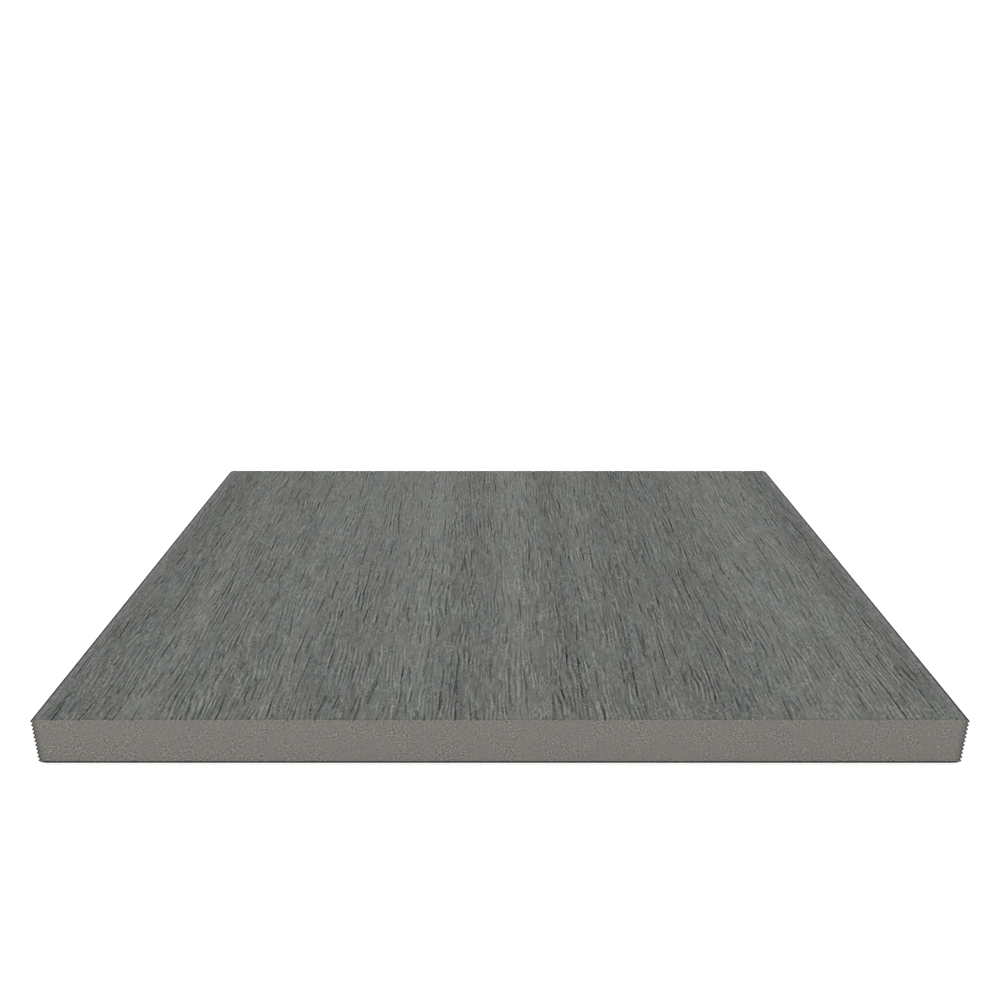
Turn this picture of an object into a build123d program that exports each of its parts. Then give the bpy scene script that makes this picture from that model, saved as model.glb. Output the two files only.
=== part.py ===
"""Composite fascia board: one extruded board with an embossed grain face and ribbed long edges.

The board lies on its back. +Z leaves the embossed face, +Y runs along the grain and
+X across the board. The origin is at the middle of the back face. Units are millimetres.
"""

import os
from math import ceil, radians, tan

from build123d import *

# Board
WIDTH = 285.75
THICKNESS = 15.875
LENGTH = 228.6

# Eased corners, where the face and the back run round to the outermost ribs
EASE_RUN = 2.8
EASE_DROP = 0.75

# V-ribs along both long edges
RIB_COUNT = 11
RIB_DEPTH = 0.8

# Embossed pores: narrow V-grooves in the face, along the grain, that run out to a tip at each end
PORE_LENGTHS = (10.0, 17.0, 27.0)
PORE_WIDTH = 0.8
PORE_DEPTH = 0.45
PORE_TIP = 2.5
PORE_LEAN = 6.0

# Pattern of the pores: staggered columns of cells, with one pore in each cell
COLUMN_PITCH = 6.0
PORE_GAP = 3.0
FACE_MARGIN = 1.5

# Irrational steps that scatter the pores within their cells
SCATTER_PHASE = 0.7548777
SCATTER_X = 0.6180340
SCATTER_Y = 0.5698403
SCATTER_LENGTH = 0.4142136
SCATTER_LEAN = 0.2360680


def scatter(column, row, step):
    """A fraction from 0 to 1 that wanders from cell to cell."""
    return ((column + 1) * (row + 2) * step + column**2 * step**2) % 1


def edge_points():
    """Tips and valleys of the ribbed right edge, from the back up to the face."""
    half_width = WIDTH / 2
    pitch = (THICKNESS - 2 * EASE_DROP) / (RIB_COUNT - 1)
    points = [(half_width, EASE_DROP)]
    for rib in range(1, RIB_COUNT):
        tip = EASE_DROP + rib * pitch
        points += [(half_width - RIB_DEPTH, tip - pitch / 2), (half_width, tip)]
    return points


def pore_places():
    """Where the pores lie on the face: one list of locations for each pore length."""
    cell_length = max(PORE_LENGTHS) + PORE_GAP
    field_width = WIDTH - 2 * (EASE_RUN + FACE_MARGIN)
    columns = int(field_width // COLUMN_PITCH)
    rows = ceil(LENGTH / cell_length) + 1
    places = {length: [] for length in PORE_LENGTHS}
    for column in range(columns):
        start = -LENGTH / 2 - cell_length * scatter(column, 0, SCATTER_PHASE)
        middle = (column - (columns - 1) / 2) * COLUMN_PITCH
        for row in range(rows):
            choice = int(scatter(column, row, SCATTER_LENGTH) * len(PORE_LENGTHS))
            length = PORE_LENGTHS[choice]
            # Few pores lean far, and each one stays in its own column
            lean = PORE_LEAN * (2 * scatter(column, row, SCATTER_LEAN) - 1) ** 3
            reach = length / 2 * tan(radians(abs(lean)))
            room = (COLUMN_PITCH - PORE_WIDTH) / 2 - reach
            sway = room * (2 * scatter(column, row, SCATTER_X) - 1)
            slack = (cell_length - length) * scatter(column, row, SCATTER_Y)
            y = start + row * cell_length + slack + length / 2
            # A pore may run out through a sawn end, but more than its tip is left
            if abs(y) - length / 2 + PORE_TIP < LENGTH / 2:
                places[length].append(Location((middle + sway, y, THICKNESS), (0, 0, lean)))
    return places


def pore_corners(length):
    """Corners of one pore: the tips and shoulders of its mouth, and the ends of its keel."""
    half_width = PORE_WIDTH / 2
    half_length = length / 2
    shoulder = half_length - PORE_TIP
    corners = []
    for end in (-1, 1):
        corners += [(0, end * half_length, 0), (0, end * shoulder, -PORE_DEPTH)]
        corners += [(-half_width, end * shoulder, 0), (half_width, end * shoulder, 0)]
    return corners


with BuildPart() as board:
    # Section across the board: half of it is drawn, then mirrored
    with BuildSketch(Plane.XZ):
        with BuildLine():
            edge = edge_points()
            ease_start = WIDTH / 2 - EASE_RUN
            Line((0, 0), (ease_start, 0))
            TangentArc((ease_start, 0), edge[0], tangent=(1, 0))
            Polyline(*edge)
            TangentArc((ease_start, THICKNESS), edge[-1], tangent=(1, 0))
            Line((ease_start, THICKNESS), (0, THICKNESS))
            Line((0, THICKNESS), (0, 0))
        make_face()
        mirror(about=Plane.YZ)
    extrude(amount=LENGTH / 2, both=True)

    # Embossed grain
    for length, places in pore_places().items():
        with Locations(*places):
            ConvexPolyhedron(pore_corners(length), mode=Mode.SUBTRACT)

board.part.label = "fascia_board"
os.makedirs("parts", exist_ok=True)
export_step(board.part, "parts/fascia_board.step")
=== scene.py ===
"""Looks of the composite fascia board.

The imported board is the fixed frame. A closed mesh of the same section stands for its solid: the face
is embossed along the grain, the long edges are ribbed and the ends are sawn. One grain field shapes
the mesh and colours it, so that every dark pore lies in its own groove. A pale floor, soft light and
a camera at the photograph's viewing angle complete the scene.
"""

from __future__ import annotations

import logging
import math
from dataclasses import dataclass
from enum import Enum

import bpy
import numpy as np
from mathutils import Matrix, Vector

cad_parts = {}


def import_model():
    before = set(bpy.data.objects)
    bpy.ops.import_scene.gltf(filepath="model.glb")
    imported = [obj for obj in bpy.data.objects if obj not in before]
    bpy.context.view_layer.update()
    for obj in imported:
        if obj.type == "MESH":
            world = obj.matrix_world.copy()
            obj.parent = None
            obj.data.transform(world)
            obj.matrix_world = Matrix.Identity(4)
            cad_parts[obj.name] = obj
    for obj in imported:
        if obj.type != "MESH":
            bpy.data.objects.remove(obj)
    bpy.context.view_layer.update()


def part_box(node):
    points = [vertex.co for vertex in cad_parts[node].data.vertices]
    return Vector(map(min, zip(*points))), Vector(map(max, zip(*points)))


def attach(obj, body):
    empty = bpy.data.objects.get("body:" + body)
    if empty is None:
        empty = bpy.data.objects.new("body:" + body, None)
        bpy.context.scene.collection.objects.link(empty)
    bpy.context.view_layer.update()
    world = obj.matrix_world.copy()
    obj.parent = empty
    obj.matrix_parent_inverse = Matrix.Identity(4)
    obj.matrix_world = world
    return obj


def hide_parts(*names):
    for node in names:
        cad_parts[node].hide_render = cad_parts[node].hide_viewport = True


LOG = logging.getLogger("fascia_board")
MM = 0.001
PER_MM = 1000.0
NODE = "fascia_board"
BODY = "root"
BAKE_MAP = "OFBake"
FACE_FINISH = "embossed_grey_face"
SKIN_FINISH = "extruded_grey_skin"
END_FINISH = "speckled_sawn_end"

# The curve between a shade on a screen and its light.
SHADE_TOP = 255.0
SHADE_KNEE = 0.04045
SHADE_SLOPE = 12.92
SHADE_SHIFT = 0.055
SHADE_POWER = 2.4

# Places of the colours among a mix node's sockets.
MIX_FIRST = 6
MIX_SECOND = 7
MIX_RESULT = 2

# What brings Blender's noise to about -1 and 1, and the strength of its finer octaves.
NOISE_MIDDLE = 0.5
NOISE_SPREAD = 4.0
NOISE_ROUGHNESS = 0.55

Rgb = tuple[float, float, float]
Rgba = tuple[float, float, float, float]
WHITE: Rgba = (1.0, 1.0, 1.0, 1.0)


class Scatter(Enum):
    """Irrational steps that scatter the pores within their cells, as in the solid."""

    PHASE = 0.7548777
    ACROSS = 0.6180340
    ALONG = 0.5698403
    LENGTH = 0.4142136
    LEAN = 0.2360680


class Strip(Enum):
    """Height of the strip that each of the board's sides has on the map for baking."""

    FACE = 0.68
    BACK = 0.12
    END = 0.06
    EDGE = 0.03


STRIP_GAP = 0.004


def linear(shade: Rgb, gain: float = 1.0) -> Rgba:
    """Turns a shade as seen on a screen into a colour for a shader.

    Args:
        shade: Red, green and blue, each from 0 to 255.
        gain: Factor on the light that the surface gives back.

    Returns:
        Linear red, green and blue, and a full alpha.
    """
    parts = []
    for value in shade:
        part = value / SHADE_TOP
        if part <= SHADE_KNEE:
            part = part / SHADE_SLOPE
        else:
            part = ((part + SHADE_SHIFT) / (1.0 + SHADE_SHIFT)) ** SHADE_POWER
        parts.append(part * gain)
    return (*parts, 1.0)


def link(name: str, data: bpy.types.ID) -> bpy.types.Object:
    """Makes an object and puts it in the scene.

    Args:
        name: Its name.
        data: Its mesh, lamp or camera.

    Returns:
        The object, at the origin.
    """
    made = bpy.data.objects.new(name, data)
    bpy.context.scene.collection.objects.link(made)
    return made


def find(tree: bpy.types.NodeTree, kind: str) -> bpy.types.Node:
    """The first node of a kind in a tree."""
    return next(node for node in tree.nodes if node.type == kind)


@dataclass(frozen=True)
class Field:
    """A value that varies over the board: an output socket with plain arithmetic."""

    sheet: NodeSheet
    socket: bpy.types.NodeSocket

    def __add__(self, other: Operand) -> Field:
        """Sum of two values."""
        return self.sheet.math("ADD", self, other)

    def __sub__(self, other: Operand) -> Field:
        """Difference of two values."""
        return self.sheet.math("SUBTRACT", self, other)

    def __rsub__(self, other: float) -> Field:
        """Difference from a plain number."""
        return self.sheet.math("SUBTRACT", other, self)

    def __mul__(self, other: Operand) -> Field:
        """Product of two values."""
        return self.sheet.math("MULTIPLY", self, other)

    def __truediv__(self, other: Operand) -> Field:
        """Quotient of two values."""
        return self.sheet.math("DIVIDE", self, other)

    def __abs__(self) -> Field:
        """Size without sign."""
        return self.sheet.math("ABSOLUTE", self)

    def floor(self) -> Field:
        """Whole number below."""
        return self.sheet.math("FLOOR", self)

    def fraction(self) -> Field:
        """What is left over the whole number below."""
        return self.sheet.math("FRACT", self)

    def above(self, limit: Operand) -> Field:
        """One where the value is over a limit, and zero elsewhere."""
        return self.sheet.math("GREATER_THAN", self, limit)

    def at_least(self, limit: Operand) -> Field:
        """The value, or the limit where that is more."""
        return self.sheet.math("MAXIMUM", self, limit)

    def rise(self, low: Operand, high: Operand) -> Field:
        """Smooth rise from zero at one value to one at another.

        Args:
            low: Value where the rise starts.
            high: Value where it ends. It may be under low, for a fall.

        Returns:
            A value from zero to one.
        """
        inputs = {"Value": self, "From Min": low, "From Max": high}
        ramp = self.sheet.run("ShaderNodeMapRange", inputs, interpolation_type="SMOOTHSTEP")
        return Field(self.sheet, ramp)


Operand = float | Field
Place = tuple[Field, Field, Field]


@dataclass(frozen=True)
class NodeSheet:
    """Lays nodes in one tree and joins them, for materials and geometry alike."""

    tree: bpy.types.NodeTree

    def node(self, kind: str, **settings: object) -> bpy.types.Node:
        """Adds a node.

        Args:
            kind: Blender's identifier of the node.
            settings: Properties of the node and their values.

        Returns:
            The new node.
        """
        made = self.tree.nodes.new(kind)
        for name, value in settings.items():
            setattr(made, name, value)
        return made

    def feed(self, target: bpy.types.NodeSocket, value: object) -> None:
        """Joins an input to a field or a socket, or gives it a plain value.

        Args:
            target: The input.
            value: A field, an output socket or a plain value.
        """
        if isinstance(value, Field):
            value = value.socket
        if isinstance(value, bpy.types.NodeSocket):
            self.tree.links.new(value, target)
        else:
            target.default_value = value

    def run(self, kind: str, inputs: dict[str, object], **settings: object) -> bpy.types.NodeSocket:
        """Adds a node and feeds it.

        Args:
            kind: Blender's identifier of the node.
            inputs: What goes into each of its inputs, by name.
            settings: Properties of the node and their values.

        Returns:
            The node's first output.
        """
        made = self.node(kind, **settings)
        for name, value in inputs.items():
            self.feed(made.inputs[name], value)
        return made.outputs[0]

    def math(self, operation: str, *values: Operand) -> Field:
        """Adds a step of arithmetic.

        Args:
            operation: Blender's name of the operation.
            values: What it works on, in order.

        Returns:
            The result.
        """
        made = self.node("ShaderNodeMath", operation=operation)
        for target, value in zip(made.inputs, values):
            self.feed(target, value)
        return Field(self, made.outputs[0])

    def parts(self, vector: bpy.types.NodeSocket) -> Place:
        """Takes a vector apart.

        Args:
            vector: Socket of the vector.

        Returns:
            Its three parts.
        """
        made = self.node("ShaderNodeSeparateXYZ")
        self.feed(made.inputs[0], vector)
        return tuple(Field(self, output) for output in made.outputs)

    def vector(self, x: Operand, y: Operand, z: Operand) -> bpy.types.NodeSocket:
        """A vector from its three parts."""
        return self.run("ShaderNodeCombineXYZ", {"X": x, "Y": y, "Z": z})

    def random(self, column: Operand, row: Operand, seed: float) -> tuple[Field, Field, Field]:
        """Three fixed random numbers from 0 to 1 for a pair of whole numbers.

        Args:
            column: The first whole number.
            row: The second one.
            seed: Keeps one pattern apart from another.

        Returns:
            The three numbers.
        """
        made = self.node("ShaderNodeTexWhiteNoise", noise_dimensions="3D")
        self.feed(made.inputs["Vector"], self.vector(column, row, seed))
        return self.parts(made.outputs["Color"])

    def mix(self, share: Operand, first: object, second: object) -> bpy.types.NodeSocket:
        """Mixes two colours.

        Args:
            share: How much of the second colour, from zero to one.
            first: Colour or socket at zero.
            second: Colour or socket at one.

        Returns:
            The mixed colour.
        """
        made = self.node("ShaderNodeMix", data_type="RGBA")
        self.feed(made.inputs["Factor"], share)
        self.feed(made.inputs[MIX_FIRST], first)
        self.feed(made.inputs[MIX_SECOND], second)
        return made.outputs[MIX_RESULT]

    def shade(self, colour: object, tone: Operand) -> bpy.types.NodeSocket:
        """Makes a colour lighter or darker.

        Args:
            colour: Colour or socket.
            tone: Factor on it.

        Returns:
            The new colour.
        """
        if isinstance(colour, tuple):
            colour = colour[:3]
        return self.run("ShaderNodeVectorMath", {"Vector": colour, "Scale": tone}, operation="SCALE")


@dataclass(frozen=True)
class Fibre:
    """Noise that is drawn out along the grain, in millimetres.

    Attributes:
        across: Size of a cell across the grain.
        along: Size of a cell along the grain.
        seed: Place of the slice through the noise, which keeps two fibres apart.
        detail: Finer octaves that are added.
    """

    across: float
    along: float
    seed: float
    detail: float = 0.0

    def lay(self, x: Field, y: Field) -> Field:
        """Adds the noise to a tree.

        Args:
            x: Place across the grain.
            y: Place along the grain.

        Returns:
            A value around zero, mostly between -1 and 1.
        """
        sheet = x.sheet
        inputs = {
            "Vector": sheet.vector(x / self.across, y / self.along, self.seed),
            "Scale": 1.0,
            "Detail": self.detail,
            "Roughness": NOISE_ROUGHNESS,
        }
        noise = Field(sheet, sheet.run("ShaderNodeTexNoise", inputs, noise_dimensions="3D"))
        return (noise - NOISE_MIDDLE) * NOISE_SPREAD


@dataclass(frozen=True)
class Patches:
    """Soft patches, where a noise is high.

    Attributes:
        noise: The noise.
        low: Its value where a patch starts.
        high: Its value where a patch is full.
    """

    noise: Fibre
    low: float
    high: float

    def lay(self, x: Field, y: Field) -> Field:
        """The patches at a place across and along the grain, from zero outside to one inside."""
        return self.noise.lay(x, y).rise(self.low, self.high)


@dataclass(frozen=True)
class Mark:
    """A kind of fine mark on a finish.

    Attributes:
        noise: Noise that makes the marks.
        tone: How much lighter they make the surface, as a share of its colour.
        matt: How much rougher they make it.
        height: How high they stand, in millimetres.
    """

    noise: Fibre
    tone: float
    matt: float = 0.0
    height: float = 0.0


@dataclass(frozen=True)
class Dashes:
    """Short lines along the grain, one to a cell, in millimetres.

    Attributes:
        pitch: From one column of cells to the next.
        cell: Length of a cell.
        width: Width of a line.
        tip: Length over which a line runs out at each end.
        rarity: Power on a line's random strength. A higher one leaves fewer strong lines.
        lean: Most that a line leans from the grain, in degrees.
        seed: Keeps one set of lines apart from another.
        core: Share of the width that has the line's full strength.
        least: Least half length of a line, in cells.
        spread: How much more than that it may be, in cells.
        stagger: Most that a column is shifted along the grain, in cells.
    """

    pitch: float
    cell: float
    width: float
    tip: float
    rarity: float
    lean: float
    seed: float
    core: float = 1 / 3
    least: float = 0.22
    spread: float = 0.25
    stagger: float = 50.0

    def lay(self, x: Field, y: Field) -> Field:
        """Adds the lines to a tree.

        Args:
            x: Place across the grain.
            y: Place along the grain.

        Returns:
            Strength of the line at that place, from zero to one.
        """
        sheet = x.sheet
        column = (x / self.pitch).floor()
        shift, _, _ = sheet.random(column, 0.0, self.seed)
        steps = y / self.cell + shift * self.stagger
        row = steps.floor()
        sway, share, chance = sheet.random(column, row, self.seed + 1.0)
        turn, _, _ = sheet.random(column, row, self.seed + 2.0)
        half = (share * self.spread + self.least) * self.cell
        ahead = (steps - row - 0.5) * self.cell
        slope = (turn * 2.0 - 1.0) * math.tan(math.radians(self.lean))
        room = self.pitch - self.width - abs(slope) * half * 2.0
        aside = x - (column + 0.5) * self.pitch + (sway - 0.5) * room + slope * ahead
        strength = sheet.math("POWER", chance, self.rarity)
        along = (half - abs(ahead)).rise(0.0, self.tip)
        return abs(aside).rise(self.width / 2, self.width / 2 * self.core) * along * strength


@dataclass(frozen=True)
class Comb:
    """Even ridges along the grain that wander, fork and fade, in millimetres.

    Attributes:
        pitch: From one ridge to the next.
        wander: Noise that shifts the ridges.
        shift: How far it shifts them, in pitches.
        strength: Where the ridges are strong.
    """

    pitch: float
    wander: Fibre
    shift: float
    strength: Patches

    def lay(self, x: Field, y: Field) -> Field:
        """Adds the ridges to a tree.

        Args:
            x: Place across the grain.
            y: Place along the grain.

        Returns:
            Height from -1 in a furrow to 1 on a ridge.
        """
        turns = x / self.pitch + self.wander.lay(x, y) * self.shift
        wave = x.sheet.math("SINE", turns * math.tau)
        return wave * self.strength.lay(x, y)


@dataclass(frozen=True)
class Pore:
    """A pore at a point of the face, as fields from zero to one.

    Attributes:
        depth: How deep the point lies in the pore.
        pore_highlight: Painted highlight: a light line along the pore's left edge, standing for light
            falling on that side.
        dark: How dark the pore is, compared with others.
    """

    depth: Field
    pore_highlight: Field
    dark: Field


@dataclass(frozen=True)
class PorePattern:
    """Pores pressed into the face, in millimetres, in the places that the solid has them.

    Attributes:
        lengths: The lengths that a pore may have.
        width: Width of a pore's mouth.
        tip: Length over which a pore runs out at each end.
        lean: Most that a pore leans from the grain, in degrees.
        pitch: From one column of cells to the next.
        gap: Least room between the cells' longest pores.
        margin: Bare strip beside the eased corners.
        pore_highlight_width: Width of the light line beside a pore.
        pore_highlight_place: From the pore's middle to that line's, in widths of the pore.
        dark_seed: Seed of the pores' random darkness.
    """

    lengths: tuple[float, float, float] = (10.0, 17.0, 27.0)
    width: float = 0.8
    tip: float = 2.5
    lean: float = 6.0
    pitch: float = 6.0
    gap: float = 3.0
    margin: float = 1.5
    # pore_highlight_width: Width of the painted highlight beside a pore.
    pore_highlight_width: float = 0.5
    # pore_highlight_place: From the pore's middle to that highlight's, in widths of the pore.
    pore_highlight_place: float = 0.6
    dark_seed: float = 3.0

    @staticmethod
    def scatter(column: Field, row: Operand, step: Scatter) -> Field:
        """A fraction from 0 to 1 that wanders from cell to cell."""
        drift = (column + 1.0) * (row + 2.0) * step.value
        return (drift + column * column * step.value**2).fraction()

    def lay(self, x: Field, y: Field, flat_width: float, length: float) -> Pore:
        """Adds the pores to a tree.

        Args:
            x: Place across the board.
            y: Place along the board.
            flat_width: Width of the face between its eased corners.
            length: Length of the board.

        Returns:
            The pore's depth, the painted highlight on its edge and how dark it is.
        """
        cell = max(self.lengths) + self.gap
        columns = (flat_width - 2 * self.margin) // self.pitch
        column = (x / self.pitch + columns / 2).floor()
        middle = (column - (columns - 1) / 2) * self.pitch
        start = self.scatter(column, 0.0, Scatter.PHASE) * -cell - length / 2
        row = ((y - start) / cell).floor()

        short, medium, long = self.lengths
        choice = self.scatter(column, row, Scatter.LENGTH) * len(self.lengths)
        longer = choice.above(1.0) * (medium - short) + choice.above(2.0) * (long - medium)
        half = (longer + short) / 2.0
        turn = self.scatter(column, row, Scatter.LEAN) * 2.0 - 1.0
        slope = turn * turn * turn * math.tan(math.radians(self.lean))
        room = (self.pitch - self.width) / 2 - half * abs(slope)
        sway = (self.scatter(column, row, Scatter.ACROSS) * 2.0 - 1.0) * room
        slack = (cell - half * 2.0) * self.scatter(column, row, Scatter.ALONG)

        centre = start + row * cell + slack + half
        aside = x - middle - sway + slope * (y - centre)
        run_out = (abs(y - centre) - half + self.tip).at_least(0.0) / self.tip
        depth = 1.0 - abs(aside) / (self.width / 2) - run_out
        # Painted highlight: a light line on the pore's left edge, standing for light on that side.
        pore_highlight = 1.0 - abs(aside + self.width * self.pore_highlight_place) / (self.pore_highlight_width / 2) - run_out
        kept = 1.0 - (abs(centre) - half).above(length / 2 - self.tip)
        inside = kept * (1.0 - abs(x).above(columns / 2 * self.pitch))
        _, _, dark = x.sheet.random(column, row, self.dark_seed)
        return Pore(depth.at_least(0.0) * inside, pore_highlight.at_least(0.0) * inside, dark)


@dataclass(frozen=True)
class GrainWeights:
    """How strongly the plain ground and each part of the grain act on the face."""

    ground: float
    fibre: float
    sliver: float
    comb: float
    strand: float
    pore: float
    crack: float
    tick: float
    nap: float = 0.0
    band: float = 0.0
    pore_highlight: float = 0.0


@dataclass(frozen=True)
class Grain:
    """The grain at a point of the face, as fields.

    Attributes:
        pore: Large pores.
        crack: Long dark lines, from zero to one.
        tick: Short dark lines, from zero to one.
        fibre: Long light raised lines, from zero to one.
        sliver: Short light raised lines, from zero to one.
        comb: Even ridges and furrows, from -1 to 1.
        nap: Fine short fibres, around zero.
        strand: Broader fibres, around zero.
        band: Wide stripes that run the board's whole length, around zero.
        depths: How high or deep each of them is, in millimetres.
        tones: How light or dark each of them is, as a share of the face's colour.
        nap_floor: Least value of the nap that shows.
        pore_spread: How much darker than the palest pore the darkest one is.
        pore_wall: Share of a pore's depth at which it is fully dark.
    """

    pore: Pore
    crack: Field
    tick: Field
    fibre: Field
    sliver: Field
    comb: Field
    nap: Field
    strand: Field
    band: Field
    depths: GrainWeights = GrainWeights(
        ground=0.15, fibre=0.08, sliver=0.04, comb=0.05, strand=0.03, pore=0.45, crack=0.25, tick=0.15
    )
    tones: GrainWeights = GrainWeights(
        ground=0.895,
        fibre=0.66,
        sliver=0.54,
        comb=0.23,
        strand=0.09,
        pore=0.235,
        crack=0.415,
        tick=0.355,
        nap=0.43,
        band=0.158,
        pore_highlight=0.35,
    )
    nap_floor: float = -0.3
    pore_spread: float = 0.19
    pore_wall: float = 0.32

    def relief(self) -> Field:
        """Works out the shape of the face.

        Returns:
            How far it lies under its highest fibres, in millimetres.
        """
        depths = self.depths
        raised = depths.ground - self.fibre * depths.fibre - self.sliver * depths.sliver
        ridges = raised - self.comb * depths.comb - self.strand * depths.strand
        groove = (self.pore.depth * depths.pore).at_least(self.crack * depths.crack)
        return groove.at_least(self.tick * depths.tick) + ridges.at_least(0.0)

    def tone(self) -> Field:
        """Works out how light the face is, with a painted highlight beside each pore.

        Returns:
            Factor on its colour, around one.
        """
        tones = self.tones
        lines = self.fibre * tones.fibre + self.sliver * tones.sliver + self.comb * tones.comb
        light = lines + self.nap.at_least(self.nap_floor) * tones.nap
        broad = self.strand * tones.strand + self.band * tones.band
        wall = self.pore.depth.rise(0.0, self.pore_wall)
        pore = wall * (self.pore.dark * self.pore_spread + tones.pore)
        dark = (self.crack * tones.crack).at_least(self.tick * tones.tick).at_least(pore)
        # The pores' painted highlight lightens the left edge of each pore.
        return light + broad + self.pore.pore_highlight * tones.pore_highlight - dark + tones.ground


@dataclass(frozen=True)
class GrainField:
    """The grain of the face, laid out in millimetres.

    Attributes:
        flat_width: Width of the face between its eased corners.
        length: Length of the board.
        pores: Pattern of the large pores.
        wobble: Noise that sways all lines.
        wobble_reach: How far it sways them.
        meander: Noise that bends all lines but the pores.
        meander_reach: How far it bends them.
        jag: Noise that kinks the dark lines.
        jag_reach: How far it kinks them.
        cracks, ticks, fibres, slivers, comb, nap, strand, band: The parts that Grain names.
        nap_least: Strength of the nap outside the thickets.
        nap_spread: How much stronger it is inside them.
        thickets: Where the nap is thick.
    """

    flat_width: float
    length: float
    pores: PorePattern = PorePattern()
    wobble: Fibre = Fibre(across=5.0, along=9.0, seed=8.7)
    wobble_reach: float = 0.17
    meander: Fibre = Fibre(across=30.0, along=80.0, seed=3.1)
    meander_reach: float = 1.1
    jag: Fibre = Fibre(across=2.0, along=3.2, seed=14.9)
    jag_reach: float = 0.16
    cracks: Dashes = Dashes(pitch=2.6, cell=16.0, width=0.88, tip=1.0, rarity=2.6, lean=7.0, seed=33.0)
    ticks: Dashes = Dashes(pitch=1.7, cell=7.0, width=0.78, tip=0.8, rarity=2.9, lean=9.0, seed=39.0)
    fibres: Dashes = Dashes(pitch=1.5, cell=19.0, width=0.55, tip=2.0, rarity=1.8, lean=5.0, seed=45.0)
    slivers: Dashes = Dashes(pitch=1.1, cell=7.0, width=0.5, tip=1.2, rarity=1.6, lean=6.0, seed=51.0)
    comb: Comb = Comb(
        pitch=1.5,
        wander=Fibre(across=6.0, along=22.0, seed=66.0),
        shift=0.6,
        strength=Patches(Fibre(across=9.0, along=24.0, seed=77.0), low=-0.3, high=0.7),
    )
    nap: Fibre = Fibre(across=0.6, along=1.2, seed=12.3, detail=1.0)
    nap_least: float = 0.4
    nap_spread: float = 0.8
    thickets: Patches = Patches(Fibre(across=6.0, along=13.0, seed=92.0), low=-0.5, high=0.7)
    strand: Fibre = Fibre(across=2.8, along=20.0, seed=21.9, detail=1.0)
    band: Fibre = Fibre(across=20.0, along=500.0, seed=1052.3, detail=1.0)

    def lay(self, x: Field, y: Field) -> Grain:
        """Adds the grain to a tree of either kind.

        Args:
            x: Place across the board, in millimetres.
            y: Place along the board, in millimetres.

        Returns:
            The grain's fields.
        """
        wobbled = x + self.wobble.lay(x, y) * self.wobble_reach
        bent = wobbled + self.meander.lay(x, y) * self.meander_reach
        kinked = bent + self.jag.lay(x, y) * self.jag_reach
        thick = self.thickets.lay(bent, y) * self.nap_spread + self.nap_least
        return Grain(
            pore=self.pores.lay(wobbled, y, self.flat_width, self.length),
            crack=self.cracks.lay(kinked, y),
            tick=self.ticks.lay(kinked, y),
            fibre=self.fibres.lay(bent, y),
            sliver=self.slivers.lay(bent, y),
            comb=self.comb.lay(bent, y),
            nap=self.nap.lay(bent, y) * thick,
            strand=self.strand.lay(bent, y),
            band=self.band.lay(bent, y),
        )


@dataclass(frozen=True)
class Edge:
    """A soft change of a finish towards an edge, in millimetres.

    Attributes:
        start: Distance from the edge where the change starts.
        full: Distance where it is full.
        share: How strong it is there.
    """

    start: float
    full: float
    share: float = 1.0

    def lay(self, distance: Field) -> Field:
        """The change at a distance from the edge."""
        return distance.rise(self.start, self.full) * self.share


@dataclass(frozen=True)
class Coat:
    """What a finish gives its shader.

    Attributes:
        colour: Colour of the surface.
        matt: What its marks add to its roughness.
        height: Its fine relief, in millimetres.
    """

    colour: bpy.types.NodeSocket
    matt: Field
    height: Field


@dataclass(frozen=True, kw_only=True)
class Finish:
    """What all finishes of the board share.

    Attributes:
        name: Name of the material.
        roughness: How matt the surface is.
        shine: Strength of its reflection.
        bumps: How much of its fine relief shows.
        gain: Factor on the light that its shades give back.
    """

    name: str
    roughness: float
    shine: float
    bumps: float
    gain: float

    def coat(self, place: Place) -> Coat:
        """Adds the finish's own nodes.

        Args:
            place: Place on the board, in millimetres.

        Returns:
            What the shader takes.
        """
        raise NotImplementedError

    def lit(self, shade: Rgb) -> Rgba:
        """The shader's colour for a shade."""
        return linear(shade, self.gain)

    def make(self) -> bpy.types.Material:
        """Makes the material.

        Returns:
            The material, with its nodes.
        """
        material = bpy.data.materials.new(self.name)
        material.use_nodes = True
        sheet = NodeSheet(material.node_tree)
        x, y, z = sheet.parts(sheet.node("ShaderNodeTexCoord").outputs["Object"])
        coat = self.coat((x * PER_MM, y * PER_MM, z * PER_MM))
        bumps = {"Strength": self.bumps, "Distance": MM, "Height": coat.height}
        inputs = {
            "Base Color": coat.colour,
            "Roughness": coat.matt + self.roughness,
            "Specular IOR Level": self.shine,
            "Normal": sheet.run("ShaderNodeBump", bumps),
        }
        shader = find(material.node_tree, "BSDF_PRINCIPLED")
        for name, value in inputs.items():
            sheet.feed(shader.inputs[name], value)
        return material


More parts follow.
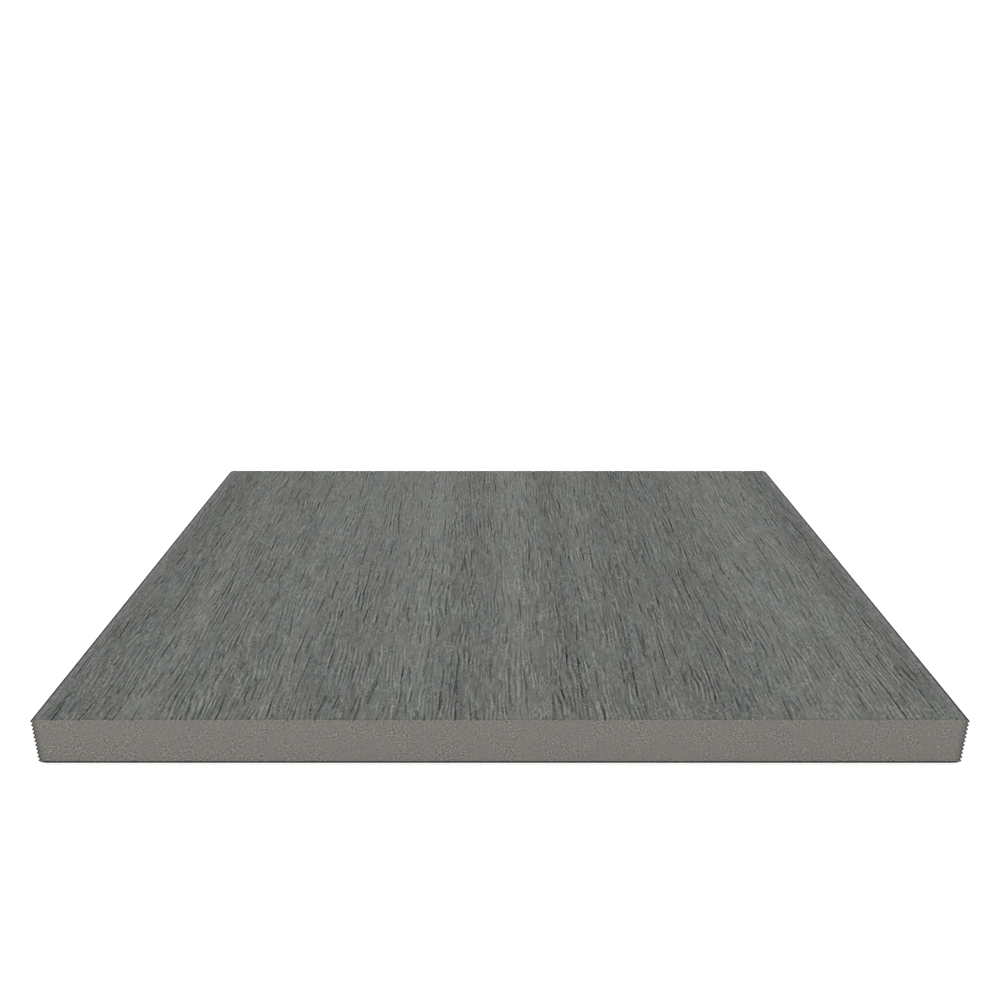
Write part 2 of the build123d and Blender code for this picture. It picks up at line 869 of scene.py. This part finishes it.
@dataclass(frozen=True, kw_only=True)
class EmbossedFace(Finish):
    """Grey face with grain, from cool to warm grey, with painted shade in dark lines along its edges.

    Attributes:
        grain: The grain of the face.
        half_width: Half of the board's width, in millimetres.
        half_length: Half of its length.
        flat_half: Half of the face's width between its eased corners.
        cool: The cooler grey.
        warm: The warmer grey.
        patch: Where the warmer grey lies.
        speckle: Fine specks all over.
        strip: Grey of the eased corners.
        strip_edge: Where that grey starts.
        strip_nap: Fine fibres on the eased corners.
        side_shade: Painted shade: a dark line along the long edges, standing for the shade where the
            eased corners turn down.
        sawn: Painted shade: a dark line along the face's ends, at their arrises.
        fibre_matt: How much rougher a light line is.
        crack_matt: How much rougher a dark line is.
        fibre_height: Fine relief of a light line.
        nap_height: Fine relief of the nap.
    """

    name: str = FACE_FINISH
    roughness: float = 0.75
    shine: float = 0.03
    bumps: float = 0.6
    gain: float = 0.868
    grain: GrainField
    half_width: float
    half_length: float
    flat_half: float
    cool: Rgb = (110.2, 113.6, 110.1)
    warm: Rgb = (112.2, 112.1, 109.8)
    patch: Patches = Patches(Fibre(across=9.0, along=28.0, seed=71.5, detail=2.0), low=-0.4, high=0.4)
    speckle: Mark = Mark(Fibre(across=0.4, along=0.9, seed=83.0, detail=1.0), tone=0.06, height=0.01)
    strip: Rgb = (114.2, 115.0, 113.6)
    strip_edge: Edge = Edge(start=0.4, full=-0.3)
    strip_nap: Mark = Mark(Fibre(across=0.7, along=2.4, seed=61.0, detail=1.0), tone=0.42)
    side_shade: Edge = Edge(start=1.4, full=0.7, share=0.78)
    sawn: Edge = Edge(start=1.0, full=0.4, share=0.16)
    fibre_matt: float = -0.08
    crack_matt: float = 0.1
    fibre_height: float = 0.05
    nap_height: float = 0.03

    def coat(self, place: Place) -> Coat:
        """Adds the grain, its colours, painted shade along the edges and its fine relief.

        Args:
            place: Place on the board, in millimetres.

        Returns:
            What the shader takes.
        """
        x, y, _ = place
        sheet = x.sheet
        grain = self.grain.lay(x, y)
        speckle = self.speckle.noise.lay(x, y)
        nap = self.strip_nap.noise.lay(x, y)
        eased = self.strip_edge.lay(self.flat_half - abs(x))
        # Painted shade: dark lines along the long edges and along the ends.
        side_shade = self.side_shade.lay(self.half_width - abs(x))
        sawn = self.sawn.lay(self.half_length - abs(y))

        colour = sheet.mix(self.patch.lay(x, y), self.lit(self.cool), self.lit(self.warm))
        colour = sheet.shade(colour, grain.tone())
        strip = sheet.shade(self.lit(self.strip), nap * self.strip_nap.tone + 1.0)
        colour = sheet.mix(eased, colour, strip)
        # Fine specks, times the painted shade along the edges.
        specks_and_edge_shade = (speckle * self.speckle.tone + 1.0) * (1.0 - side_shade) * (1.0 - sawn)
        height = (grain.fibre * self.fibre_height + grain.nap * self.nap_height) * (1.0 - eased)
        return Coat(
            colour=sheet.shade(colour, specks_and_edge_shade),
            matt=grain.fibre * self.fibre_matt + grain.crack * self.crack_matt,
            height=height + speckle * self.speckle.height,
        )


@dataclass(frozen=True, kw_only=True)
class ExtrudedSkin(Finish):
    """Plain skin of the ribbed edges and the back, with lines that the die drew along it.

    Attributes:
        colour: Its grey.
        climb: How far round the section each millimetre up the edge counts.
        line: Lines from the die.
        mottle: Faint patches.
        speckle: Fine specks.
    """

    name: str = SKIN_FINISH
    roughness: float = 0.6
    shine: float = 0.2
    bumps: float = 0.6
    gain: float = 0.8
    colour: Rgb = (92.0, 93.0, 90.0)
    climb: float = 1.7
    line: Mark = Mark(
        Fibre(across=0.7, along=160.0, seed=5.0, detail=2.0), tone=0.07, matt=0.05, height=0.02
    )
    mottle: Mark = Mark(Fibre(across=9.0, along=22.0, seed=15.0, detail=2.0), tone=0.06, matt=0.05)
    speckle: Mark = Mark(Fibre(across=0.5, along=0.9, seed=25.0), tone=0.04, height=0.008)

    def coat(self, place: Place) -> Coat:
        """Adds the die lines, a faint mottle and specks.

        Args:
            place: Place on the board, in millimetres.

        Returns:
            What the shader takes.
        """
        x, y, z = place
        around = x + z * self.climb
        line = self.line.noise.lay(around, y)
        mottle = self.mottle.noise.lay(around, y)
        speckle = self.speckle.noise.lay(around, y)
        tone = line * self.line.tone + mottle * self.mottle.tone + speckle * self.speckle.tone
        return Coat(
            colour=x.sheet.shade(self.lit(self.colour), tone + 1.0),
            matt=line * self.line.matt + mottle * self.mottle.matt,
            height=line * self.line.height + speckle * self.speckle.height,
        )


@dataclass(frozen=True, kw_only=True)
class SawnEnd(Finish):
    """Warm grey sawn end, finely speckled, with the skin's cut edge round it, darkened with painted
    shade.

    Attributes:
        half_width: Half of the board's width, in millimetres.
        rib_pitch: From one rib's tip to the next.
        rib_depth: From a rib's tip to the valley beside it.
        rib_start: Height of the lowest rib's tip.
        olive: The greener grey.
        mauve: The redder grey.
        tint: Where the redder grey lies.
        cluster: Where grit and flecks are thick.
        grit: Fine light and dark grains.
        grit_crowd: How much stronger the grit is in a cluster.
        fleck: Shade of the light flecks.
        flecks: Where the flecks lie.
        fleck_crowd: How much a cluster adds to their noise.
        kerf: Marks of the saw.
        kerf_slant: How much they slant.
        rind: Shade of the denser strip beside the ribs.
        rind_edge: Where that strip starts.
        rim_and_edge_shade: The skin's cut edge, far darker than the skin, as painted shade along the
            back and ribs.
        back_skin: The skin along the back.
        rib_skin: The skin along the ribs.
        tip_skin: The skin at the ribs' tips.
    """

    name: str = END_FINISH
    roughness: float = 0.85
    shine: float = 0.03
    bumps: float = 0.7
    gain: float = 0.699
    half_width: float
    rib_pitch: float
    rib_depth: float
    rib_start: float
    olive: Rgb = (124.7, 122.5, 115.6)
    mauve: Rgb = (125.2, 120.3, 117.8)
    tint: Patches = Patches(Fibre(across=4.6, along=4.0, seed=17.0), low=-0.7, high=0.7)
    cluster: Patches = Patches(Fibre(across=6.5, along=8.0, seed=9.0, detail=1.0), low=-0.5, high=0.7)
    grit: Mark = Mark(
        Fibre(across=0.54, along=0.52, seed=2.0, detail=1.0), tone=0.24, matt=0.06, height=0.02
    )
    grit_crowd: float = 0.36
    fleck: Rgb = (151.0, 147.5, 142.5)
    flecks: Patches = Patches(Fibre(across=0.62, along=0.58, seed=29.0), low=0.8, high=1.4)
    fleck_crowd: float = 0.12
    kerf: Mark = Mark(Fibre(across=0.8, along=30.0, seed=37.0, detail=1.0), tone=0.015, height=0.015)
    kerf_slant: float = 0.35
    rind: Rgb = (106.0, 105.5, 102.0)
    rind_edge: Edge = Edge(start=2.4, full=0.6, share=0.8)
    rim_and_edge_shade: Rgb = (40.0, 39.0, 37.0)
    back_skin: Edge = Edge(start=0.78, full=0.42)
    rib_skin: Edge = Edge(start=0.455, full=0.245)
    tip_skin: Edge = Edge(start=0.65, full=0.35)

    def coat(self, place: Place) -> Coat:
        """Adds the speckle, the saw's marks and the cut edge of the skin, darkened with painted shade.

        Args:
            place: Place on the board, in millimetres.

        Returns:
            What the shader takes.
        """
        x, _, z = place
        sheet = x.sheet
        cluster = self.cluster.lay(x, z)
        grit = self.grit.noise.lay(x, z)
        kerf = self.kerf.noise.lay(x + z * self.kerf_slant, z)
        flecks = self.flecks.noise.lay(x, z) + cluster * self.fleck_crowd

        colour = sheet.mix(self.tint.lay(x, z), self.lit(self.olive), self.lit(self.mauve))
        shown = flecks.rise(self.flecks.low, self.flecks.high)
        colour = sheet.mix(shown, colour, self.lit(self.fleck))
        fine = grit * (cluster * self.grit_crowd + self.grit.tone)
        colour = sheet.shade(colour, fine + kerf * self.kerf.tone + 1.0)

        slope = 2 * self.rib_depth / self.rib_pitch
        rib = sheet.math("PINGPONG", z - self.rib_start, self.rib_pitch / 2) * slope
        inside = self.half_width - rib - abs(x)
        colour = sheet.mix(self.rind_edge.lay(inside), colour, self.lit(self.rind))
        # The skin's cut edge, darkened with painted shade along the back and the ribs.
        cut = self.back_skin.lay(z).at_least(self.rib_skin.lay(inside))
        cut = cut.at_least(self.tip_skin.lay(self.half_width - abs(x)))
        return Coat(
            colour=sheet.mix(cut, colour, self.lit(self.rim_and_edge_shade)),
            matt=grit * self.grit.matt,
            height=grit * self.grit.height + kerf * self.kerf.height,
        )


@dataclass
class FasciaBoard:
    """The board: its section, its embossed mesh and its finishes, in metres.

    Attributes:
        width: Size across the board.
        length: Size along the grain.
        thickness: From the back to the face.
        ease_run: How far the eased corners reach in from the ribs' tips.
        ease_drop: How far they fall.
        rib_count: Ribs on each long edge.
        rib_depth: From a rib's tip to the valley beside it.
        face_columns: Strips of mesh across the face.
        back_columns: Strips of mesh across the back.
        ease_steps: Strips of mesh round an eased corner.
        rows: Strips of mesh along the board.
        corner_reach: Depth to which the sides count as face or back, in corner drops.
        end_facing: Least part of an end's normal that points along the board.
        fade_over: How far past the flat face the grain's relief is gone.
        fade_before: How far before the flat face's edge it is still full.
    """

    width: float
    length: float
    thickness: float
    ease_run: float = 2.8 * MM
    ease_drop: float = 0.75 * MM
    rib_count: int = 11
    rib_depth: float = 0.8 * MM
    face_columns: int = 1100
    back_columns: int = 24
    ease_steps: int = 6
    rows: int = 78
    corner_reach: float = 1.2
    end_facing: float = 0.9
    fade_over: float = 0.4 * MM
    fade_before: float = 0.8 * MM

    @property
    def flat_width(self) -> float:
        """Width of the face between its eased corners."""
        return self.width - 2 * self.ease_run

    @property
    def rib_pitch(self) -> float:
        """From one rib's tip to the next."""
        return (self.thickness - 2 * self.ease_drop) / (self.rib_count - 1)

    @property
    def grain(self) -> GrainField:
        """The grain of the face."""
        return GrainField(self.flat_width * PER_MM, self.length * PER_MM)

    def right_edge(self) -> list[tuple[float, float]]:
        """Outline of the right edge, from the face's eased corner down to the back's.

        Returns:
            Points across the board and up, without the last one on the back.
        """
        radius = (self.ease_run**2 + self.ease_drop**2) / (2 * self.ease_drop)
        sweep = math.asin(self.ease_run / radius)
        turns = [sweep * step / self.ease_steps for step in range(self.ease_steps)]
        ease = [(radius * math.sin(turn), radius * (1 - math.cos(turn))) for turn in turns]
        start = self.flat_width / 2
        tip = self.width / 2
        top = [(start + run, self.thickness - drop) for run, drop in ease]
        ribs = [(tip, self.thickness - self.ease_drop)]
        for rib in range(1, self.rib_count):
            z = self.thickness - self.ease_drop - rib * self.rib_pitch
            ribs += [(tip - self.rib_depth, z + self.rib_pitch / 2), (tip, z)]
        bottom = [(start + run, drop) for run, drop in reversed(ease[1:])]
        return top + ribs + bottom

    def section(self) -> bpy.types.Mesh:
        """Makes the section as a closed ring of edges.

        Returns:
            A mesh with the ring in its own X and Y.
        """
        right = self.right_edge()
        start = self.flat_width / 2
        face = np.linspace(-start, start, self.face_columns + 1)[:-1]
        back = np.linspace(start, -start, self.back_columns + 1)
        left = [(-x, z) for x, z in reversed(right[1:])]
        ring = [(x, self.thickness) for x in face] + right + [(x, 0.0) for x in back] + left
        edges = [(i, (i + 1) % len(ring)) for i in range(len(ring))]
        mesh = bpy.data.meshes.new("board_section")
        mesh.from_pydata([(x, z, 0.0) for x, z in ring], edges, [])
        return mesh

    @staticmethod
    def sweep(sheet: NodeSheet, given: bpy.types.NodeOutputs) -> bpy.types.NodeSocket:
        """Sweeps the section along the board, closes its ends and lays it along Y.

        Args:
            sheet: Where the nodes go.
            given: The geometry tree's inputs.

        Returns:
            The board, still without its grain.
        """
        half = Field(sheet, given["Length"]) / 2.0
        ends = {"Start": sheet.vector(0.0, 0.0, half * -1.0), "End": sheet.vector(0.0, 0.0, half)}
        path = sheet.run("GeometryNodeCurvePrimitiveLine", ends)
        count = Field(sheet, given["Rows"]) + 1.0
        spaced = sheet.run("GeometryNodeResampleCurve", {"Curve": path, "Count": count})
        ring = sheet.run("GeometryNodeMeshToCurve", {"Mesh": given["Section"]})
        inputs = {"Curve": spaced, "Profile Curve": ring, "Fill Caps": True}
        swept = sheet.run("GeometryNodeCurveToMesh", inputs)
        upright = (math.pi / 2, 0.0, 0.0)
        return sheet.run("GeometryNodeTransform", {"Geometry": swept, "Rotation": upright})

    def emboss_tree(self) -> bpy.types.NodeTree:
        """Makes the geometry tree that sweeps the section along the board and presses the grain in.

        Returns:
            The tree, with its inputs named.
        """
        tree = bpy.data.node_groups.new("emboss_board", "GeometryNodeTree")
        tree.is_modifier = True
        kinds = {
            "NodeSocketGeometry": ("Section",),
            "NodeSocketInt": ("Rows",),
            "NodeSocketFloat": ("Length", "Thickness", "Flat Half Width", "Corner Drop"),
            "NodeSocketMaterial": ("Face Finish", "Skin Finish", "End Finish"),
        }
        for kind, names in kinds.items():
            for name in names:
                tree.interface.new_socket(name, in_out="INPUT", socket_type=kind)
        tree.interface.new_socket("Board", in_out="OUTPUT", socket_type="NodeSocketGeometry")
        sheet = NodeSheet(tree)
        given = sheet.node("NodeGroupInput").outputs
        swept = self.sweep(sheet, given)

        x, y, z = sheet.parts(sheet.node("GeometryNodeInputPosition").outputs[0])
        _, facing, _ = sheet.parts(sheet.node("GeometryNodeInputNormal").outputs[0])
        reach = Field(sheet, given["Corner Drop"]) * self.corner_reach
        on_face = z.above(Field(sheet, given["Thickness"]) - reach)
        on_back = 1.0 - z.above(reach)
        on_end = abs(facing).above(self.end_facing)

        flat = Field(sheet, given["Flat Half Width"])
        fade = abs(x).rise(flat + self.fade_over, flat - self.fade_before)
        relief = self.grain.lay(x * PER_MM, y * PER_MM).relief() * fade
        offset = sheet.vector(0.0, 0.0, relief * -MM)
        inputs = {"Geometry": swept, "Selection": on_face, "Offset": offset}
        pressed = sheet.run("GeometryNodeSetPosition", inputs)

        rounded = (on_face + on_back) * (1.0 - on_end)
        smooth = sheet.run("GeometryNodeSetShadeSmooth", {"Geometry": pressed, "Shade Smooth": rounded})
        last = sheet.run("GeometryNodeRealizeInstances", {"Geometry": smooth})
        for finish, where in (("Skin Finish", True), ("Face Finish", on_face), ("End Finish", on_end)):
            inputs = {"Geometry": last, "Selection": where, "Material": given[finish]}
            last = sheet.run("GeometryNodeSetMaterial", inputs)
        sheet.feed(sheet.node("NodeGroupOutput").inputs[0], last)
        return tree

    def finishes(self) -> dict[str, bpy.types.Material]:
        """Makes the board's materials.

        Returns:
            The material for each finish input of the geometry tree.
        """
        half_width = self.width / 2 * PER_MM
        face = EmbossedFace(
            grain=self.grain,
            half_width=half_width,
            half_length=self.length / 2 * PER_MM,
            flat_half=self.flat_width / 2 * PER_MM,
        )
        skin = ExtrudedSkin()
        end = SawnEnd(
            half_width=half_width,
            rib_pitch=self.rib_pitch * PER_MM,
            rib_depth=self.rib_depth * PER_MM,
            rib_start=self.ease_drop * PER_MM,
        )
        return {"Face Finish": face.make(), "Skin Finish": skin.make(), "End Finish": end.make()}

    def unfold(self, mesh: bpy.types.Mesh) -> None:
        """Lays the board's sides out in strips on one map, the face widest, for baking.

        Args:
            mesh: The finished mesh, with its materials.
        """
        places = np.array([vertex.co for vertex in mesh.vertices])
        x, y, z = places[[loop.vertex_index for loop in mesh.loops]].T
        sides = [face.loop_total for face in mesh.polygons]
        names = [mesh.materials[face.material_index].name for face in mesh.polygons]
        names = np.repeat(names, sides)
        centres = np.array([face.center for face in mesh.polygons])
        middle_x, middle_y, middle_z = np.repeat(centres, sides, axis=0).T

        on_face = names == FACE_FINISH
        on_end = names == END_FINISH
        on_back = (names == SKIN_FINISH) & (middle_z < self.ease_drop)
        on_ribs = (names == SKIN_FINISH) & ~on_back
        across = x / self.width + 0.5
        along = y / self.length + 0.5
        up = z / self.thickness
        strips = (
            (on_face, across, along, Strip.FACE),
            (on_back, across, along, Strip.BACK),
            (on_end & (middle_y < 0), across, up, Strip.END),
            (on_end & (middle_y > 0), across, up, Strip.END),
            (on_ribs & (middle_x < 0), along, up, Strip.EDGE),
            (on_ribs & (middle_x > 0), along, up, Strip.EDGE),
        )
        spread = np.zeros((len(mesh.loops), 2))
        start = 0.0
        for where, u, v, strip in strips:
            spread[where, 0] = u[where]
            spread[where, 1] = start + v[where] * strip.value
            start += strip.value + STRIP_GAP
        layer = mesh.uv_layers.new(name=BAKE_MAP)
        layer.data.foreach_set("uv", spread.ravel())

    def build(self) -> bpy.types.Object:
        """Makes the dressed board.

        Returns:
            One closed mesh object at the origin.
        """
        tree = self.emboss_tree()
        raw = link("board_section", self.section())
        modifier = raw.modifiers.new("emboss", "NODES")
        modifier.node_group = tree
        values = {
            "Length": self.length,
            "Rows": self.rows,
            "Thickness": self.thickness,
            "Flat Half Width": self.flat_width / 2,
            "Corner Drop": self.ease_drop,
            **self.finishes(),
        }
        for socket in tree.interface.items_tree:
            if socket.name in values:
                modifier[socket.identifier] = values[socket.name]
        bpy.context.view_layer.update()
        evaluated = raw.evaluated_get(bpy.context.evaluated_depsgraph_get())
        mesh = bpy.data.meshes.new_from_object(evaluated)
        self.unfold(mesh)
        bpy.data.objects.remove(raw)
        return link("embossed_board", mesh)


@dataclass
class Studio:
    """Pale floor, soft light and the camera, in metres.

    Attributes:
        near_edge: Place of the near end's face along the board.
        face_height: Height of the board's face.
        floor_size: Length of the floor's sides.
        floor_shade: Shade of the floor.
        floor_roughness: How matt the floor is.
        floor_glow: Light that the floor itself gives.
        sky: Strength of the white surround.
        key_place: Place of the lamp, which points at the origin.
        key_size: Width of the lamp.
        key_power: Power of the lamp, in watts.
        camera_aside: Place of the camera across the board.
        camera_ahead: How far the camera stands before the near end.
        camera_above: How far it stands over the face.
        camera_pitch: How far it looks down, in degrees.
        lens: Focal length, in millimetres on the sensor.
        sensor: Width of the sensor, in millimetres.
        shift: Sideways shift of the picture, as a share of its width.
        nearest: Distance from which the camera sees.
    """

    near_edge: float
    face_height: float
    floor_size: float = 40.0
    floor_shade: Rgb = (252.0, 252.0, 252.0)
    floor_roughness: float = 0.9
    floor_glow: float = 0.16
    sky: float = 1.03
    key_place: tuple[float, float, float] = (-1.0, -2.3, 1.5)
    key_size: float = 1.4
    key_power: float = 32.0
    camera_aside: float = -1.36 * MM
    camera_ahead: float = 238.6 * MM
    camera_above: float = 163.5 * MM
    camera_pitch: float = 21.11
    lens: float = 33.38
    sensor: float = 36.0
    shift: float = 0.0045
    nearest: float = 0.01

    def floor(self) -> bpy.types.Object:
        """Makes the pale floor under the board.

        Returns:
            The floor.
        """
        half = self.floor_size / 2
        mesh = bpy.data.meshes.new("floor")
        square = [(-half, -half, 0.0), (half, -half, 0.0), (half, half, 0.0), (-half, half, 0.0)]
        mesh.from_pydata(square, [], [(0, 1, 2, 3)])
        material = bpy.data.materials.new("pale_floor")
        material.use_nodes = True
        shader = find(material.node_tree, "BSDF_PRINCIPLED")
        shader.inputs["Base Color"].default_value = linear(self.floor_shade)
        shader.inputs["Roughness"].default_value = self.floor_roughness
        shader.inputs["Specular IOR Level"].default_value = 0.0
        shader.inputs["Emission Color"].default_value = WHITE
        shader.inputs["Emission Strength"].default_value = self.floor_glow
        mesh.materials.append(material)
        return link("floor", mesh)

    def light(self) -> None:
        """Makes an even white surround and one large soft lamp at the front left."""
        world = bpy.data.worlds.new("white_surround")
        world.use_nodes = True
        surround = find(world.node_tree, "BACKGROUND")
        surround.inputs["Color"].default_value = WHITE
        surround.inputs["Strength"].default_value = self.sky
        bpy.context.scene.world = world
        lamp = bpy.data.lights.new("key", "AREA")
        lamp.shape = "DISK"
        lamp.size = self.key_size
        lamp.energy = self.key_power
        key = link("key", lamp)
        key.location = self.key_place
        key.rotation_euler = Vector(self.key_place).to_track_quat("Z", "Y").to_euler()

    def camera(self) -> None:
        """Sets up the camera at the photograph's viewing angle."""
        data = bpy.data.cameras.new("camera")
        data.lens = self.lens
        data.sensor_width = self.sensor
        data.shift_x = self.shift
        data.clip_start = self.nearest
        camera = link("camera", data)
        camera.location = (
            self.camera_aside,
            self.near_edge - self.camera_ahead,
            self.face_height + self.camera_above,
        )
        camera.rotation_euler = (math.radians(90.0 - self.camera_pitch), 0.0, 0.0)
        bpy.context.scene.camera = camera

    def set_up(self) -> None:
        """Makes everything round the board."""
        self.floor()
        self.light()
        self.camera()
        bpy.context.scene.view_settings.view_transform = "Standard"


def main() -> None:
    """Builds the board and the studio."""
    logging.basicConfig(level=logging.INFO, format="%(message)s")
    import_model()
    low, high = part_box(NODE)
    width, length, thickness = high - low

    board = FasciaBoard(width, length, thickness).build()
    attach(board, BODY)
    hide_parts(NODE)
    LOG.info("%s: %d faces, on %s", board.name, len(board.data.polygons), BODY)

    Studio(near_edge=low.y, face_height=high.z).set_up()


if __name__ == "__main__":
    main()
